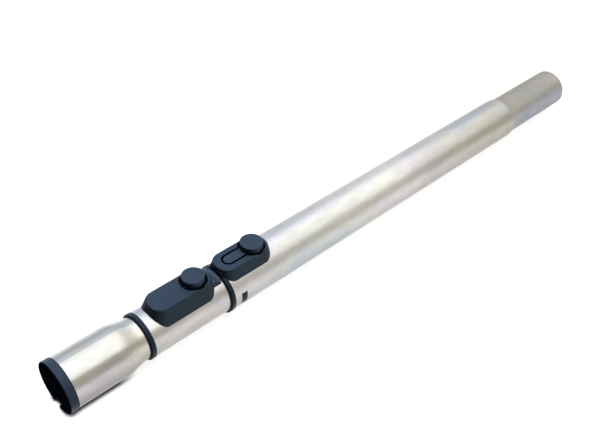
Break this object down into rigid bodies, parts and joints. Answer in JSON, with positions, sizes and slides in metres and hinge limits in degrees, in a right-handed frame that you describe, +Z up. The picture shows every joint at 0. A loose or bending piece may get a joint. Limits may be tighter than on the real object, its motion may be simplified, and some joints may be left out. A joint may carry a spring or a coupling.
{
  "type": "telescopic vacuum wand",
  "caption": "Telescopic steel vacuum wand with a flared handle socket, a push button latch, a rocker latch and a plain tool spigot.",
  "frame": {"origin": "centre of the handle socket's mouth, on the axis of the tubes, with the wand pushed together", "axes": "+X along the tubes from the socket to the tool spigot, +Z up through the latches"},
  "size_m": [0.567, 0.0394, 0.0481],
  "materials": {
    "tube_steel": "satin stainless tube",
    "slate_plastic": "matte moulded plastic",
    "black_plastic": "matte moulded plastic",
    "black_felt": "dense felt",
    "bright_steel": "bright drawn wire"
  },
  "bodies": {
    "outer": {"outer_tube": "tube_steel", "outer_collar": "slate_plastic", "outer_seal": "black_felt", "outer_latch_base": "black_plastic", "outer_latch_housing": "slate_plastic", "outer_base_rivets": "bright_steel", "outer_lever_pin": "bright_steel", "outer_lever_spring": "bright_steel"},
    "lever": {"outer_release_lever": "slate_plastic"},
    "middle": {"middle_tube": "tube_steel", "middle_collar": "slate_plastic", "middle_seal": "black_felt", "middle_guide_bush": "black_plastic", "middle_latch_base": "slate_plastic", "middle_latch_housing": "slate_plastic", "middle_base_rivets": "bright_steel", "middle_button_spring": "bright_steel", "middle_pawl_pin": "bright_steel"},
    "button": {"middle_release_button": "slate_plastic"},
    "pawl": {"middle_pawl": "black_plastic"},
    "inner": {"inner_tube": "tube_steel", "socket_liner": "slate_plastic", "inner_guide_bush": "black_plastic"}
  },
  "joints": [
    {"name": "middle_slide", "type": "slide", "parent": "outer", "child": "middle", "axis": [-1, 0, 0], "range_m": [0, 0.26]},
    {"name": "inner_slide", "type": "slide", "parent": "middle", "child": "inner", "axis": [-1, 0, 0], "range_m": [0, 0.26]},
    {"name": "lever_rock", "type": "hinge", "parent": "outer", "child": "lever", "pos_m": [0.152, 0, 0.0209], "axis": [0, 1, 0], "range_deg": [0, 6.6], "stiffness_Nm_per_rad": 1, "springref_deg": -2.86, "deforming": ["outer_lever_spring"]},
    {"name": "button_press", "type": "slide", "parent": "middle", "child": "button", "axis": [0, 0, -1], "range_m": [0, 0.0024], "stiffness_N_per_m": 2000, "springref_m": -0.001, "deforming": ["middle_button_spring"]},
    {"name": "pawl_lift", "type": "hinge", "parent": "middle", "child": "pawl", "pos_m": [0.098, 0, 0.0199], "axis": [0, 1, 0], "range_deg": [0, 10.65]}
  ],
  "couplings": [
    {"joint": "pawl_lift", "follows": "button_press", "rad_per_m": 77.4}
  ]
}
